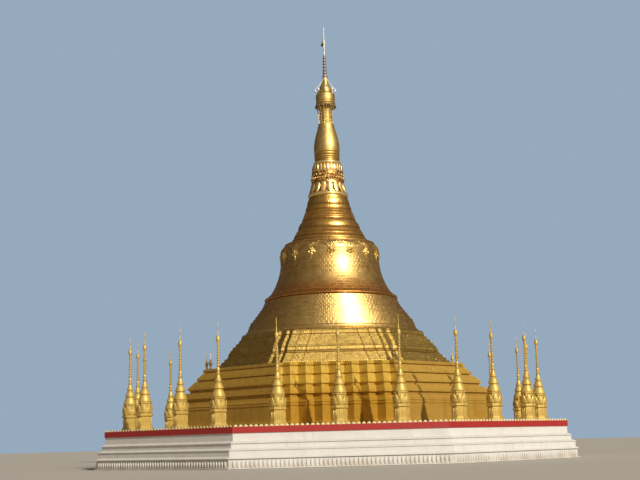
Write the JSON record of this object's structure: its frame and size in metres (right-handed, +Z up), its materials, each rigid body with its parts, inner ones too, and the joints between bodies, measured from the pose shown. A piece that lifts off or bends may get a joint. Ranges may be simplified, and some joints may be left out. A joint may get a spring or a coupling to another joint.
{
  "type": "stupa",
  "caption": "Gilded bell-shaped stupa on a white octagonal plinth, with zigzag terraces, a ring of small stupas, a ringed spire and a crown with a turning vane.",
  "frame": {"origin": "ground level at the centre of the plinth", "axes": "+Z up along the spire, the face nearest the viewer of the picture looks along -Y, +X to the viewer's right"},
  "size_m": [38.2, 38.2, 39],
  "materials": {
    "whitewash": "limewashed masonry, dusty and slightly stained",
    "red_paint": "painted plaster, satin",
    "floor_tile": "matt tiles",
    "terrace_gold": "gold paint on masonry, satin",
    "plate_gold": "gilded plates, polished, with fine seams",
    "crown_gold": "gilded metal, polished",
    "pale_metal": "silvered metal"
  },
  "bodies": {
    "stupa": {"plinth_foot": "whitewash", "plinth_lower_course": "whitewash", "plinth_upper_course": "whitewash", "red_band": "red_paint", "platform_floor": "floor_tile", "gold_base": "terrace_gold", "terrace_lower": "terrace_gold", "terrace_middle": "terrace_gold", "terrace_upper": "terrace_gold", "octagon_lower": "plate_gold", "octagon_moulding": "plate_gold", "octagon_upper": "plate_gold", "round_ring": "plate_gold", "round_band": "plate_gold", "bell_rim": "plate_gold", "bell_body": "plate_gold", "bell_shoulder": "plate_gold", "ringed_cone": "plate_gold", "neck_band": "plate_gold", "lotus_petals_down": "plate_gold", "lotus_bead_band": "plate_gold", "lotus_petals_up": "plate_gold", "bud": "crown_gold", "crown_column": "crown_gold", "crown_rim": "crown_gold", "crown_cone": "crown_gold", "finial_rod": "crown_gold", "corner_finial_1": "terrace_gold", "corner_finial_2": "terrace_gold", "corner_finial_3": "terrace_gold", "corner_finial_4": "terrace_gold", "corner_finial_5": "terrace_gold", "corner_finial_6": "terrace_gold", "corner_finial_7": "terrace_gold", "corner_finial_8": "terrace_gold", "small_stupa_01": "terrace_gold", "small_stupa_02": "terrace_gold", "small_stupa_03": "terrace_gold", "small_stupa_04": "terrace_gold", "small_stupa_05": "terrace_gold", "small_stupa_06": "terrace_gold", "small_stupa_07": "terrace_gold", "small_stupa_08": "terrace_gold", "small_stupa_09": "terrace_gold", "small_stupa_10": "terrace_gold", "small_stupa_11": "terrace_gold", "small_stupa_12": "terrace_gold", "small_stupa_13": "terrace_gold", "small_stupa_14": "terrace_gold", "small_stupa_15": "terrace_gold", "small_stupa_16": "terrace_gold", "small_stupa_17": "terrace_gold", "small_stupa_18": "terrace_gold", "small_stupa_19": "terrace_gold", "small_stupa_20": "terrace_gold", "small_stupa_21": "terrace_gold", "small_stupa_22": "terrace_gold", "small_stupa_23": "terrace_gold", "small_stupa_24": "terrace_gold"},
    "vane": {"vane": "pale_metal"}
  },
  "joints": [
    {"name": "vane_turn", "type": "hinge", "parent": "stupa", "child": "vane", "pos_m": [0, 0, 37], "axis": [0, 0, 1], "continuous": true}
  ]
}
